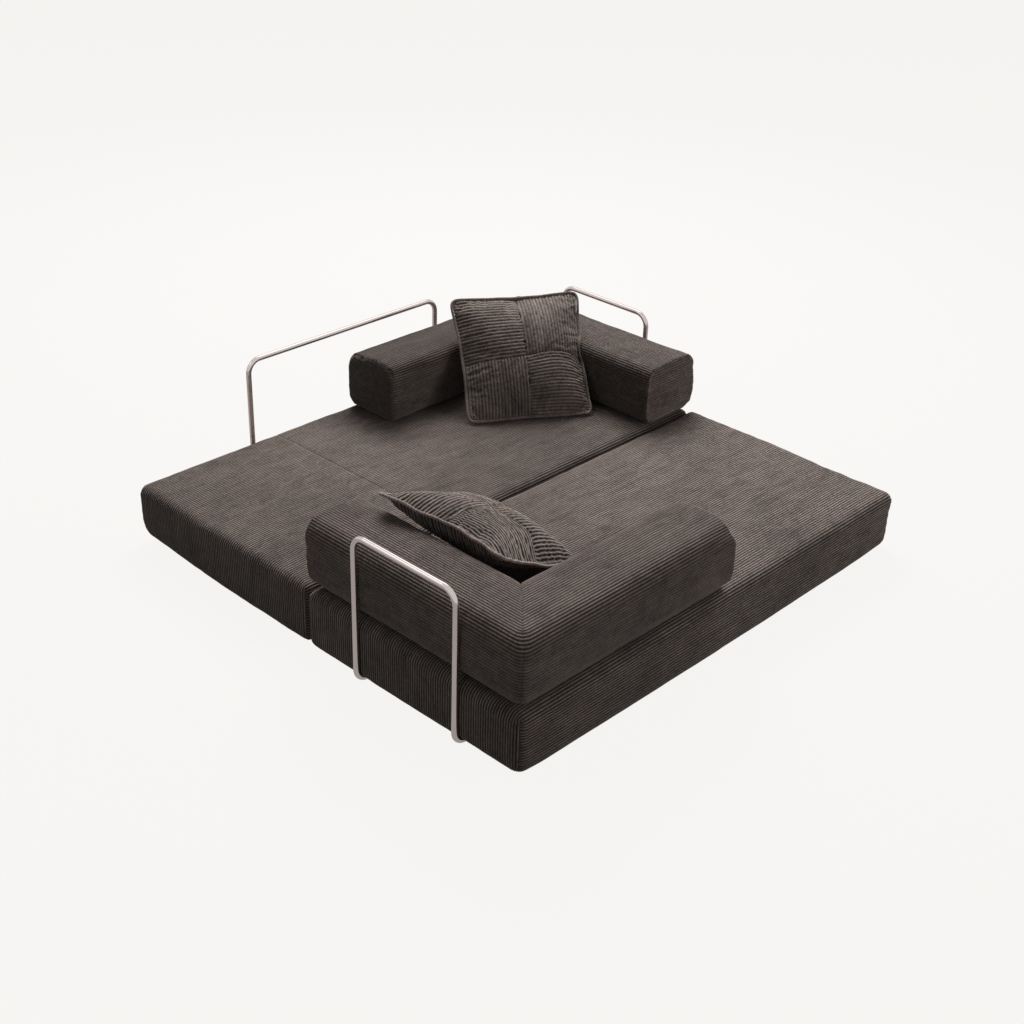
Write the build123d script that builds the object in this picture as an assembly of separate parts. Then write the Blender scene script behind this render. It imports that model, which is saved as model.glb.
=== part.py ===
from build123d import *
from math import cos, radians, sin
import os

# Sofa bed opened out flat, in millimetres. Two long pads lie side by side and
# make the bed. An L-shaped bolster stands on each pad, on opposite corners, a
# patchwork pillow leans on each bolster, and three bent-tube rails stand
# against the outside with their feet under the pads.
# X runs along the pads, Y across them from the front pad to the back pad.

# pads
pad_length = 2000
pad_width = 965
pad_height = 243
pad_gap = 5
pad_corner_radius = 34
pad_bottom_radius = 52
pad_top_radius = 40
pad_crown = 9
crown_reach = 160
topper_height = 55
cloth_thickness = 2.5
base_hem = 4

# the cover zips, in the sides of the pads that face each other
zip_width = 8
zip_height_on_pad = 75
zip_end_margin = 120

# fabric hinge strip, folded double, in the gap between the pads
hinge_strip_depth = 60
hinge_strip_end_margin = 60
hinge_strip_clearance = 0.3

# L-shaped bolsters
bolster_width = 285
bolster_height = 245
bolster_long_arm = 1000
bolster_top_radius = 72
bolster_bottom_radius = 62
bolster_crown = 7
bolster_side_bulge = 4
end_panel_thickness = 2.5
bolster_rest_clearance = 0.3

# pillows
pillow_side = 510
pillow_half_thickness = 86
pillow_edge_half_height = 3
pillow_drawn_in = 13
pillow_corner_radius = 30
pillow_mid_radius = 1900
pillow_cloth_thickness = 2
piping_radius = 5
piping_clearance = 0.3

# where the pillows lean: centre measured from the inner corner of the bolster,
# along the pads, across them and up from the pad, then the way that the face
# looks (turned about Z from +X, and raised from level) and its own turn
back_pillow_along = 201.3
back_pillow_across = 193
back_pillow_up = 198.6
back_pillow_turn_degrees = 237.7
back_pillow_raise_degrees = 40.3
back_pillow_roll_degrees = 0
front_pillow_along = 180.2
front_pillow_across = 357.5
front_pillow_up = 158.8
front_pillow_turn_degrees = -2.7
front_pillow_raise_degrees = 60.4
front_pillow_roll_degrees = 16

# rails
tube_radius = 10
tube_wall = 1.5
rail_height = 563
rail_top_bend = 52
rail_foot_bend = 45
rail_foot_length = 240
rail_clearance = 2
short_rail_span = 450
long_rail_span = 957
long_rail_offset = 15
side_rail_offset = 12
plug_wall = 2
plug_depth = 18
slot_clearance = 1.5
bend_clearance = 0.8

# one overrun serves every cut
overrun = 20

# numbers of steps in the rounded edges and in the pillows' swell
edge_steps = 3
crown_shares = (0.55, 0.85, 1)
crown_reach_shares = (0.25, 0.55, 0.85)
pillow_ring_shares = (1, 0.95, 0.86, 0.72, 0.52, 0.26)
pillow_swell_power = 0.62

# sizes that follow from those above
bed_width = pad_width + pad_gap + pad_width
hinge_strip_thickness = pad_gap - 2 * hinge_strip_clearance
hinge_y = pad_width + pad_gap / 2
back_pad_y = pad_width + pad_gap
bolster_short_arm = pad_width
rail_reach = rail_clearance + tube_radius + tube_radius
tube_bore = tube_radius - tube_wall
centre_x = pad_length / 2
centre_y = (bed_width + rail_reach) / 2
back_pillow_centre = (
    pad_length - bolster_width - back_pillow_along,
    bed_width - bolster_width - back_pillow_across,
    pad_height + back_pillow_up,
)
front_pillow_centre = (
    bolster_width + front_pillow_along,
    bolster_width + front_pillow_across,
    pad_height + front_pillow_up,
)


def half_turn(shape):
    """The same shape turned half round about the middle of the bed."""
    middle = Pos(centre_x, bed_width / 2, 0)
    return middle * Rot(0, 0, 180) * Pos(-centre_x, -bed_width / 2, 0) * shape


def save(shape, name):
    """Writes one node, moved so that the origin is under the middle of the whole."""
    export_step(Pos(-centre_x, -centre_y, 0) * shape, "parts/" + name + ".step")


# ---- pads ----


def pad_outline(inset, z, corner):
    """One level of a pad: a rectangle with rounded corners, drawn in by inset."""
    length = pad_length - 2 * inset
    width = pad_width - 2 * inset
    middle = Pos(centre_x, pad_width / 2, z)
    return middle * RectangleRounded(length, width, corner)


def pad_levels(skin):
    """Pairs of inset and height up a pad, measured skin inside its surface."""
    bottom = pad_bottom_radius - skin
    top = pad_top_radius - skin
    shoulder = pad_height - pad_crown - skin
    levels = []
    for step in range(edge_steps + 1):
        turn = radians(90 * (1 - step / edge_steps))
        inset = skin + bottom * (1 - cos(turn))
        levels.append((inset, skin + bottom * (1 - sin(turn))))
    for step in range(edge_steps + 1):
        turn = radians(90 * step / edge_steps)
        inset = skin + top * (1 - cos(turn))
        levels.append((inset, shoulder - top * (1 - sin(turn))))
    for rise, reach in zip(crown_shares, crown_reach_shares):
        inset = pad_top_radius + crown_reach * reach
        levels.append((inset, shoulder + pad_crown * rise))
    return levels


def pad_block(skin):
    """A whole crowned pad, measured skin inside the outer surface."""
    corner = pad_corner_radius - skin
    rings = [pad_outline(inset, z, corner) for inset, z in pad_levels(skin)]
    return loft(rings, ruled=True)


def base_panel():
    """The flat cloth panel in the middle of a pad's underside."""
    inset = pad_bottom_radius + base_hem
    return extrude(pad_outline(inset, 0, pad_corner_radius), cloth_thickness)


def pad_zip():
    """A flat zip in the front pad's side that faces the other pad."""
    length = pad_length - 2 * zip_end_margin
    face_y = pad_width - cloth_thickness / 2
    return Pos(centre_x, face_y, zip_height_on_pad) * Box(length, cloth_thickness, zip_width)


def pad_pieces(channels):
    """Cover, core, topper, base and zip of one pad, with the rails' channels cut out."""
    inner = pad_block(cloth_thickness)
    base = base_panel()
    closure = pad_zip()
    seam_z = pad_height - topper_height
    deep = pad_height + overrun
    lower = Pos(centre_x, pad_width / 2, seam_z - deep / 2) * Box(
        pad_length + overrun, pad_width + overrun, deep
    )
    return {
        "cover": pad_block(0) - inner - base - closure - channels,
        "core": (inner & lower) - channels,
        "topper": inner - lower,
        "base": base - channels,
        "zip": closure,
    }


# ---- rails ----


def rail_path(span):
    """Middle line of a rail: foot, leg, top bar, leg, foot. Feet run to +X."""
    top = rail_height - tube_radius
    foot = rail_foot_length
    near = -span / 2
    far = span / 2
    return FilletPolyline(
        (foot, near, tube_radius),
        (0, near, tube_radius),
        (0, near, top),
        (0, far, top),
        (0, far, tube_radius),
        (foot, far, tube_radius),
        radius=(rail_foot_bend, rail_top_bend, rail_top_bend, rail_foot_bend),
    )


def rod_along(path, radius):
    """A round rod of the given radius along a path."""
    start = Plane(origin=path @ 0, z_dir=path % 0)
    return sweep(start * Circle(radius), path=path)


def rail_tube(span):
    path = rail_path(span)
    return rod_along(path, tube_radius) - rod_along(path, tube_bore)


def rail_plugs(span):
    """A plastic plug in the open end of each foot."""
    depth = plug_depth
    blank = Cylinder(tube_bore, depth) - Pos(0, 0, -plug_wall) * Cylinder(
        tube_bore - plug_wall, depth
    )
    plugs = []
    for y in (-span / 2, span / 2):
        at = Pos(rail_foot_length - depth / 2, y, tube_radius)
        plugs.append(at * Rot(0, 90, 0) * blank)
    return Compound(children=plugs)


def rail_channels(span):
    """Room for the feet: their bends, and straight slots that let them slide out."""
    wide = tube_radius + slot_clearance
    length = rail_foot_length + slot_clearance + overrun
    rooms = [rod_along(rail_path(span), tube_radius + bend_clearance)]
    for y in (-span / 2, span / 2):
        slot = Box(length, 2 * wide, wide + tube_radius + overrun)
        middle = Pos(length / 2 - overrun, y, (wide + tube_radius - overrun) / 2)
        rooms.append(middle * slot)
    return rooms


front_rail_place = Pos(-rail_clearance - tube_radius, pad_width / 2, 0)
side_rail_place = Pos(
    pad_length + rail_clearance + tube_radius,
    back_pad_y + pad_width / 2 + side_rail_offset,
    0,
) * Rot(0, 0, 180)
back_rail_place = Pos(
    centre_x + long_rail_offset, bed_width + rail_clearance + tube_radius, 0
) * Rot(0, 0, -90)


# ---- bolsters ----


def bolster_section(skin):
    """Face across a bolster arm: flat below, bulging sides and a crowned top."""
    side = bolster_width / 2 - skin - bolster_side_bulge
    bulge = side + bolster_side_bulge
    low = bolster_bottom_radius - skin
    high = bolster_top_radius - skin
    floor = skin
    shoulder = bolster_height - bolster_crown - skin
    peak = bolster_height - skin
    middle = (floor + low + shoulder - high) / 2
    slant = sin(radians(45))
    right = [
        Line((0, floor), (side - low, floor)),
        ThreePointArc(
            (side - low, floor),
            (side - low + low * slant, floor + low - low * slant),
            (side, floor + low),
        ),
        ThreePointArc((side, floor + low), (bulge, middle), (side, shoulder - high)),
        ThreePointArc(
            (side, shoulder - high),
            (side - high + high * slant, shoulder - high + high * slant),
            (side - high, shoulder),
        ),
        ThreePointArc(
            (side - high, shoulder),
            ((side - high) / 2, (shoulder + peak + peak + peak) / 4),
            (0, peak),
        ),
    ]
    left = [edge.mirror(Plane.YZ) for edge in right]
    return make_face(Wire(right + left))


def bolster_bar(skin, shorter):
    """An L-shaped bar, mitred at the corner, its two ends drawn in by shorter."""
    half = bolster_width / 2
    base = pad_height + bolster_rest_clearance
    start = (half, bolster_short_arm - shorter, base)
    path = Polyline(start, (half, half, base), (bolster_long_arm - shorter, half, base))
    plane = Plane(origin=start, x_dir=(1, 0, 0), z_dir=(0, -1, 0))
    section = plane * bolster_section(skin)
    return sweep(section, path=path, transition=Transition.RIGHT)


def end_panel(plane):
    """A flat end panel, inside the tube of the cover."""
    return extrude(plane * bolster_section(cloth_thickness), end_panel_thickness)


def bolster_pieces():
    """Cover, core, end panels and zip of the front bolster."""
    half = bolster_width / 2
    base = pad_height + bolster_rest_clearance
    long_end = Plane(origin=(bolster_long_arm, half, base), x_dir=(0, 1, 0), z_dir=(1, 0, 0))
    short_end = Plane(origin=(half, bolster_short_arm, base), x_dir=(-1, 0, 0), z_dir=(0, 1, 0))
    straight = bolster_long_arm - bolster_width - 2 * zip_end_margin
    middle_x = bolster_width + zip_end_margin + straight / 2
    closure = Pos(middle_x, half, base + cloth_thickness / 2) * Box(
        straight, zip_width, cloth_thickness
    )
    tube = bolster_bar(0, 0) - bolster_bar(cloth_thickness, -overrun)
    return {
        "cover": tube - closure,
        "core": bolster_bar(cloth_thickness, end_panel_thickness),
        "long_end_panel": end_panel(long_end.offset(-end_panel_thickness)),
        "short_end_panel": end_panel(short_end.offset(-end_panel_thickness)),
        "zip": closure,
    }


# ---- pillows ----


def pillow_outline(share, skin, grow):
    """Outline of a pillow at one level: a square with drawn-in sides."""
    half = (pillow_side / 2 - piping_radius - skin) * share + grow
    waist = half - pillow_drawn_in * share
    corner = min(pillow_corner_radius + half * (1 - share), half / 2) + grow
    points = (
        (half, half),
        (0, waist),
        (-half, half),
        (-waist, 0),
        (-half, -half),
        (0, -waist),
        (half, -half),
        (waist, 0),
    )
    bends = (corner, pillow_mid_radius * share - grow) * 4
    return FilletPolyline(*points, radius=bends, close=True)


def pillow_half(skin):
    """The swelling upper half of a pillow, measured skin inside its surface."""
    thick = pillow_half_thickness - skin
    edge = pillow_edge_half_height - skin / 2
    rings = [make_face(pillow_outline(1, skin, 0))]
    for share in pillow_ring_shares:
        rise = (1 - share * share) ** pillow_swell_power
        height = edge + (thick - edge) * rise
        rings.append(Pos(0, 0, height) * make_face(pillow_outline(share, skin, 0)))
    return loft(rings, ruled=True)


def pillow_body(skin):
    half = pillow_half(skin)
    return half + half.mirror(Plane.XY)


def pillow_piping():
    """The cord sewn into the edge, all the way round."""
    path = pillow_outline(1, 0, piping_radius + piping_clearance)
    start = Plane(origin=path @ 0.03, z_dir=path % 0.03)
    return sweep(start * Circle(piping_radius), path=path)


def pillow_pieces():
    """Four face squares, back panel, filling and piping, flat about the origin."""
    skin = pillow_body(0) - pillow_body(pillow_cloth_thickness)
    size = pillow_side
    pieces = {}
    quarters = {
        "upper_left_square": (-1, 1),
        "upper_right_square": (1, 1),
        "lower_left_square": (-1, -1),
        "lower_right_square": (1, -1),
    }
    for name, (x, y) in quarters.items():
        pieces[name] = skin & Pos(x * size / 2, y * size / 2, size / 2) * Box(size, size, size)
    pieces["back_panel"] = skin & Pos(0, 0, -size / 2) * Box(2 * size, 2 * size, size)
    pieces["filling"] = pillow_body(pillow_cloth_thickness)
    pieces["piping"] = pillow_piping()
    return pieces


def pillow_place(centre, turn, lift, roll):
    """Where a pillow leans, from its centre and the way its face looks."""
    level = cos(radians(lift))
    facing = (level * cos(radians(turn)), level * sin(radians(turn)), sin(radians(lift)))
    across = (-sin(radians(turn)), cos(radians(turn)), 0)
    return Plane(origin=centre, x_dir=across, z_dir=facing).location * Rot(0, 0, roll)


# ---- the strip between the pads ----


def hinge_strip():
    """Cloth strip sewn to the back pad's side, in the gap below the fold line."""
    length = pad_length - 2 * hinge_strip_end_margin
    top = pad_height - pad_crown - pad_top_radius
    y = back_pad_y - hinge_strip_clearance - hinge_strip_thickness / 2
    return Pos(centre_x, y, top - hinge_strip_depth / 2) * Box(
        length, hinge_strip_thickness, hinge_strip_depth
    )


def write_pads():
    short = rail_channels(short_rail_span)
    long = rail_channels(long_rail_span)
    front = pad_pieces([front_rail_place * room for room in short])
    side_rooms = [half_turn(side_rail_place * room) for room in short]
    back_rooms = [half_turn(back_rail_place * room) for room in long]
    back = pad_pieces(side_rooms + back_rooms)
    for name, piece in front.items():
        save(piece, "front_pad_" + name)
    for name, piece in back.items():
        save(half_turn(piece), "back_pad_" + name)
    save(hinge_strip(), "hinge_strip")


def write_bolsters():
    for name, piece in bolster_pieces().items():
        save(piece, "front_bolster_" + name)
        save(half_turn(piece), "back_bolster_" + name)


def write_pillows():
    front = pillow_place(
        front_pillow_centre, front_pillow_turn_degrees, front_pillow_raise_degrees, front_pillow_roll_degrees
    )
    back = pillow_place(back_pillow_centre, back_pillow_turn_degrees, back_pillow_raise_degrees, back_pillow_roll_degrees)
    for name, piece in pillow_pieces().items():
        save(front * piece, "front_pillow_" + name)
        save(back * piece, "back_pillow_" + name)


def write_rails():
    short_tube = rail_tube(short_rail_span)
    short_plugs = rail_plugs(short_rail_span)
    save(front_rail_place * short_tube, "front_rail_tube")
    save(front_rail_place * short_plugs, "front_rail_plugs")
    save(side_rail_place * short_tube, "side_rail_tube")
    save(side_rail_place * short_plugs, "side_rail_plugs")
    save(back_rail_place * rail_tube(long_rail_span), "back_rail_tube")
    save(back_rail_place * rail_plugs(long_rail_span), "back_rail_plugs")


os.makedirs("parts", exist_ok=True)
write_pads()
write_bolsters()
write_pillows()
write_rails()
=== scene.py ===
import math
from collections import namedtuple

import bpy
import numpy as np
from mathutils import Matrix


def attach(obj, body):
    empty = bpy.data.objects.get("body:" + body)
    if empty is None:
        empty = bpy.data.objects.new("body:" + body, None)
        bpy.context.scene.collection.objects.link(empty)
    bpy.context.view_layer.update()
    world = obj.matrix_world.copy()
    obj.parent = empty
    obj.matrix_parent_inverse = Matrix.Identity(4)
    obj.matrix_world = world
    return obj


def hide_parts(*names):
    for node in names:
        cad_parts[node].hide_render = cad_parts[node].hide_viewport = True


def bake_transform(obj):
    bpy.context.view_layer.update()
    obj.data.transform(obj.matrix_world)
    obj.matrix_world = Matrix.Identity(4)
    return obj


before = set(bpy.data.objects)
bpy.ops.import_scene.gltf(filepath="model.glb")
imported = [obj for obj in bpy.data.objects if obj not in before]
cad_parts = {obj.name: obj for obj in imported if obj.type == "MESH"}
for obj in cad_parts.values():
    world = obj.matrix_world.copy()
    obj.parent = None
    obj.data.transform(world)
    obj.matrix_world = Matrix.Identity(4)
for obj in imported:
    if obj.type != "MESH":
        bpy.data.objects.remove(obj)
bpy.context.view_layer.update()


# ---------------------------------------------------------------- objects in the scene


def add_object(name, data):
    made = bpy.data.objects.new(name, data)
    bpy.context.scene.collection.objects.link(made)
    return made


def stand(thing, place, x, y, z):
    """Puts an object at a place, with its own axes along the ones given."""
    thing.matrix_world = Matrix([*zip(x, y, z, place), (0.0, 0.0, 0.0, 1.0)])


# ---------------------------------------------------------------- camera
# place, aim and focal length found from the edges of the pads, bolsters and rails
YAW, PITCH, ROLL = 0.75635, 0.51178, 0.03181
EYE = (-3.57751, -3.35027, 2.88325)
FOCAL_PIXELS, PHOTO_PIXELS = 1525.23, 1024
SENSOR = 36.0
FARTHEST = 200.0


def make_camera():
    flat = math.cos(PITCH)
    forward = np.array([flat * math.cos(YAW), flat * math.sin(YAW), -math.sin(PITCH)])
    level = np.array([math.sin(YAW), -math.cos(YAW), 0.0])
    up = np.cross(level, forward)
    right = math.cos(ROLL) * level + math.sin(ROLL) * up
    top = -math.sin(ROLL) * level + math.cos(ROLL) * up
    data = bpy.data.cameras.new("photo_camera")
    data.sensor_fit = "HORIZONTAL"
    data.sensor_width = SENSOR
    data.lens = FOCAL_PIXELS / PHOTO_PIXELS * SENSOR
    data.clip_end = FARTHEST
    camera = add_object("photo_camera", data)
    stand(camera, EYE, right, top, -forward)
    bpy.context.scene.camera = camera


make_camera()

# ---------------------------------------------------------------- sizes
# millimetres, measured on the floor from the near left corner of the front pad
LENGTH, WIDTH, GAP = 2000.0, 965.0, 5.0
BED = 2 * WIDTH + GAP
HEIGHT, CROWN = 243.0, 9.0
SHOULDER = HEIGHT - CROWN
TOP_ROUND, LOW_ROUND, CORNER = 39.0, 50.0, 37.0
RAIL_REACH = 22.0
CENTRE_X, CENTRE_Y = LENGTH / 2, (BED + RAIL_REACH) / 2
B_WIDTH, B_HEIGHT, B_LONG, B_SHORT = 285.0, 245.0, 1000.0, 965.0
REST = 0.3
DECK = HEIGHT + REST

# from wale to wale, and how deep the groove between them is on the pads and pillows
WALE_PAD, WALE_BOLSTER, WALE_PILLOW = 10.2, 10.3, 13.2
PAD_GROOVE, PILLOW_GROOVE = 2.2, 2.8
WALE_POINTS = 5

# zips: on the pads' inner sides, and under the bolsters' long arms
ZIP_INSET, ZIP_HEIGHT = 2.4, 75
SIDE_ZIP, UNDER_ZIP = (120, 1880), (405, 880)

# middle lines of the rails' feet
SHORT_SPAN, LONG_SPAN = 450.0, 957.0
SIDE_RAIL_OFFSET, LONG_RAIL_OFFSET = 12, 15


def to_row(points):
    """Millimetres from the bed's near left corner to metres in the row frame."""
    return (np.asarray(points, float) - [CENTRE_X, CENTRE_Y, 0.0]) / 1000.0


def same(points):
    return points


def half_turn(points):
    """The like place on the other pad, half a turn round the middle of the bed."""
    return points * [-1.0, -1.0, 1.0] + [LENGTH, BED, 0.0]


# ---------------------------------------------------------------- small tools


def smooth(value):
    """0 below 0, 1 above 1, and a soft rise between."""
    value = np.clip(value, 0.0, 1.0)
    return value * value * (3 - 2 * value)


def ramp(value, start, span):
    """A soft rise from 0 to 1 that begins at start and takes span."""
    return smooth((value - start) / span)


def bell(off, spread):
    """1 where off is 0, and falling away on both sides over the spread."""
    return np.exp(-((off / spread) ** 2))


def ripples(x, y, count, shortest, longest, seed):
    """Sum of waves in random directions, about -1 to 1, the same on each run."""
    rng = np.random.default_rng(seed)
    total = 0.0
    for _ in range(count):
        turn, phase = rng.uniform(0, math.tau, 2)
        length = rng.uniform(shortest, longest)
        travel = x * math.cos(turn) + y * math.sin(turn)
        total = total + np.cos(math.tau * travel / length + phase)
    return total / math.sqrt(count) / 1.2


def ridge(position):
    """Height of a wale, 0 in the groove and 1 on its back, at a position in wales."""
    return np.abs(np.sin(math.pi * position)) ** 1.15


def wale_stations(count, per=WALE_POINTS):
    return np.arange(count * per + 1) / per


def run_along(line):
    """Distance from the start of a line to each of its points."""
    return np.concatenate([[0], np.cumsum(np.linalg.norm(np.diff(line, axis=0), axis=1))])


def read_line(at, distance, line):
    """The points of a line at given distances along it."""
    return np.stack([np.interp(at, distance, column) for column in line.T], -1)


def grid_of(*parts):
    """Points from the arrays of their coordinates, which only have to fit each other."""
    return np.stack(np.broadcast_arrays(*parts), -1)


def quads_of(index):
    """Faces between the neighbours in a grid of point numbers."""
    corners = [index[:-1, :-1], index[1:, :-1], index[1:, 1:], index[:-1, 1:]]
    return np.stack(corners, -1).reshape(-1, 4)


def normals(grid, wrap=False):
    """Unit normals of a grid of points; with wrap the first axis closes on itself."""
    if wrap:
        grid = np.concatenate([grid[-2:-1], grid, grid[1:2]], 0)
    n = np.cross(np.gradient(grid, axis=0), np.gradient(grid, axis=1))
    n /= np.maximum(np.linalg.norm(n, axis=2, keepdims=True), 1e-9)
    return n[1:-1] if wrap else n


def normals_from(centre, grid, wrap=False):
    """Normals that point away from a centre, and 1 or -1 for the way the grid runs."""
    out = normals(grid, wrap)
    way = 1 if np.sum(out * (grid - centre)) > 0 else -1
    return out * way, way


def read_grid(grid, i_at, j_at):
    """The smooth surface through a coarse grid, read at free places."""
    n = grid.shape[0]

    def weights(at):
        at = np.clip(at, 0, n - 1)
        i = np.minimum(at.astype(int), n - 2)
        t = at - i
        w = [
            0.5 * (-t + 2 * t**2 - t**3),
            0.5 * (2 - 5 * t**2 + 3 * t**3),
            0.5 * (t + 4 * t**2 - 3 * t**3),
            0.5 * (-(t**2) + t**3),
        ]
        return i, w

    padded = np.pad(grid, ((1, 1), (1, 1), (0, 0)), mode="reflect", reflect_type="odd")
    i, wi = weights(i_at)
    j, wj = weights(j_at)
    total = 0.0
    for a in range(4):
        for b in range(4):
            total = total + (wi[a] * wj[b])[..., None] * padded[i + a, j + b]
    return total


class Cloth:
    """Panels of corduroy that are put together as one mesh."""

    def __init__(self):
        self.points, self.faces, self.wale, self.nap, self.tone = [], [], [], [], []
        self.count = 0

    def add(self, grid, height, across, along, out=1, tone=1.0):
        """One panel: points, wale height 0 to 1 (which also paints shade in the grooves), pattern
        coordinates in metres, and the painted light and shade on it (1 for none)."""
        shape = grid.shape[:2]
        index = np.arange(shape[0] * shape[1]).reshape(shape) + self.count
        quads = quads_of(index)
        self.faces.append(quads if out > 0 else quads[:, ::-1])
        self.points.append(grid.reshape(-1, 3))
        # the third coordinate gives each panel its own part of the pattern
        panel = np.full(shape, 0.37 * len(self.points))
        self.nap.append(grid_of(across, along, panel).reshape(-1, 3))
        self.wale.append(np.broadcast_to(height, shape).reshape(-1))
        self.tone.append(np.broadcast_to(tone, shape).reshape(-1))
        self.count += index.size

    def make(self, name, material):
        parts = (self.points, self.faces, self.wale, self.nap, self.tone)
        points, faces, wale, nap, tone = map(np.concatenate, parts)
        return make_mesh(name, to_row(points), faces, material, wale, nap, tone)


def make_mesh(name, points, quads, material, wale=None, nap=None, tone=None):
    mesh = bpy.data.meshes.new(name)
    mesh.vertices.add(len(points))
    mesh.vertices.foreach_set("co", np.asarray(points, np.float32).ravel())
    mesh.loops.add(quads.size)
    mesh.loops.foreach_set("vertex_index", quads.astype(np.int32).ravel())
    mesh.polygons.add(len(quads))
    mesh.polygons.foreach_set("loop_start", np.arange(0, quads.size, 4, dtype=np.int32))
    mesh.polygons.foreach_set("loop_total", np.full(len(quads), 4, np.int32))
    mesh.polygons.foreach_set("use_smooth", np.ones(len(quads), bool))
    mesh.update(calc_edges=True)
    stored = (
        ("wale", "FLOAT", "value", wale),
        ("tone", "FLOAT", "value", tone),
        ("nap", "FLOAT_VECTOR", "vector", nap),
    )
    for label, kind, field, values in stored:
        if values is not None:
            attribute = mesh.attributes.new(label, kind, "POINT")
            attribute.data.foreach_set(field, np.asarray(values, np.float32).ravel())
    mesh.validate()
    mesh.materials.append(material)
    return add_object(name, mesh)


# ---------------------------------------------------------------- materials


class Nodes:
    """Short way to write the node tree of a material or a world."""

    def __init__(self, owner, output="ShaderNodeOutputMaterial"):
        owner.use_nodes = True
        self.owner, self.tree = owner, owner.node_tree
        self.tree.nodes.clear()
        self.surface = self.add(output)

    def add(self, kind, inputs=None, **settings):
        node = self.tree.nodes.new(kind)
        for key, value in settings.items():
            setattr(node, key, value)
        for key, value in (inputs or {}).items():
            self.put(node, key, value)
        return node

    def put(self, node, key, value):
        if isinstance(value, bpy.types.NodeSocket):
            self.tree.links.new(value, node.inputs[key])
        elif isinstance(value, bpy.types.Node):
            self.tree.links.new(value.outputs[0], node.inputs[key])
        else:
            node.inputs[key].default_value = value

    def place(self):
        return self.add("ShaderNodeTexCoord").outputs["Object"]

    def attribute(self, name, output="Fac"):
        return self.add("ShaderNodeAttribute", attribute_name=name).outputs[output]

    def math(self, how, a, b, clamp=False):
        return self.add("ShaderNodeMath", {0: a, 1: b}, operation=how, use_clamp=clamp).outputs[0]

    def range(self, value, low, high, to_low, to_high):
        inputs = {0: value, 1: low, 2: high, 3: to_low, 4: to_high}
        return self.add("ShaderNodeMapRange", inputs).outputs[0]

    def noise(self, vector, scale, detail=2.0, rough=0.5, output="Fac"):
        """Noise, with one scale or one for each axis."""
        if isinstance(scale, tuple):
            vector = self.add("ShaderNodeVectorMath", {0: vector, 1: scale}, operation="MULTIPLY")
            scale = 1.0
        inputs = {"Vector": vector, "Scale": scale, "Detail": detail, "Roughness": rough}
        return self.add("ShaderNodeTexNoise", inputs).outputs[output]

    def mix(self, factor, a, b, how="MIX"):
        inputs = {"Factor": factor, 6: a, 7: b}
        return self.add("ShaderNodeMix", inputs, data_type="RGBA", blend_type=how).outputs[2]

    def bump(self, height, distance, strength=1.0):
        inputs = {"Height": height, "Distance": distance, "Strength": strength}
        return self.add("ShaderNodeBump", inputs).outputs[0]

    def shader(self, **inputs):
        named = {key.replace("_", " "): value for key, value in inputs.items()}
        self.put(self.surface, "Surface", self.add("ShaderNodeBsdfPrincipled", named))
        return self.owner

    def by_ray(self, plain, glossy, seen):
        """One shader for most rays, one for mirrored ones and one for what is seen."""
        ray = self.add("ShaderNodeLightPath").outputs
        mixed = self.add("ShaderNodeMixShader", {0: ray["Is Glossy Ray"], 1: plain, 2: glossy})
        direct = self.math("ADD", ray["Is Camera Ray"], ray["Is Transmission Ray"], clamp=True)
        whole = self.add("ShaderNodeMixShader", {0: direct, 1: mixed, 2: seen})
        self.put(self.surface, "Surface", whole)


def corduroy(name, light, dark, sheen=0.3):
    """Wide-wale corduroy: brushed pile on the wales, grooves coloured dark as painted shade, soft
    marks of uneven colour, and each panel's painted light and shade.
    """
    n = Nodes(bpy.data.materials.new(name))
    nap, place = n.attribute("nap", "Vector"), n.place()
    patches = n.noise(place, 3.4, 3.0, 0.55)
    wander = {0: n.noise(place, 7.0, output="Color"), 1: (0.22, 0.22, 0.22), 2: place}
    wandering = n.add("ShaderNodeVectorMath", wander, operation="MULTIPLY_ADD")
    brushed = n.noise(wandering, (9.0, 30.0, 22.0), 4.0, 0.62)
    streaks = n.noise(nap, (70.0, 7.0, 1.0), 3.0, 0.6)
    fibres = n.noise(nap, (1500.0, 420.0, 1.0), 2.0, 0.6)
    tufts = n.noise(nap, (110.0, 185.0, 1.0))
    # each kind of mark: its noise, the range of the noise that counts, and its depth
    marks = (
        (patches, 0.3, 0.7, 0.20),
        (brushed, 0.3, 0.7, 0.26),
        (streaks, 0.3, 0.7, 0.22),
        (fibres, 0.2, 0.8, 0.18),
        (tufts, 0.3, 0.7, 0.27),
    )
    shade = 1.0
    for noise, low, high, depth in marks:
        shade = n.math("ADD", shade, n.range(noise, low, high, -depth, depth))
    # painted light and shade: each panel's attribute lightens or darkens its colour
    shade = n.math("MULTIPLY", shade, n.attribute("tone"))
    # painted shade: the grooves between the wales are coloured dark from the wale attribute, for
    # the shade that falls in them
    colour = n.mix(n.math("POWER", n.attribute("wale"), 2.3, clamp=True), dark, light)
    warm = n.range(n.noise(place, 9.0, 1.0), 0.35, 0.65, 0.0, 1.0)
    tint = n.mix(warm, (1.0, 0.975, 0.93, 1), (1.03, 0.96, 0.955, 1))
    colour = n.mix(1.0, colour, tint, "MULTIPLY")
    grey = n.add("ShaderNodeCombineColor", {0: shade, 1: shade, 2: shade})
    pile = n.math("ADD", n.math("MULTIPLY", fibres, 0.6), n.math("MULTIPLY", tufts, 0.4))
    return n.shader(
        Base_Color=n.mix(1.0, colour, grey, "MULTIPLY"),
        Roughness=n.range(patches, 0.3, 0.7, 0.86, 0.98),
        Specular_IOR_Level=0.15,
        Sheen_Weight=sheen,
        Sheen_Roughness=0.5,
        Sheen_Tint=(0.92, 0.81, 0.75, 1),
        Normal=n.bump(pile, 0.0009, 0.8),
    )


# a wave texture of scale 1 has about this many threads a metre, two to each wave
THREADS_PER_SCALE = 6.3


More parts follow.
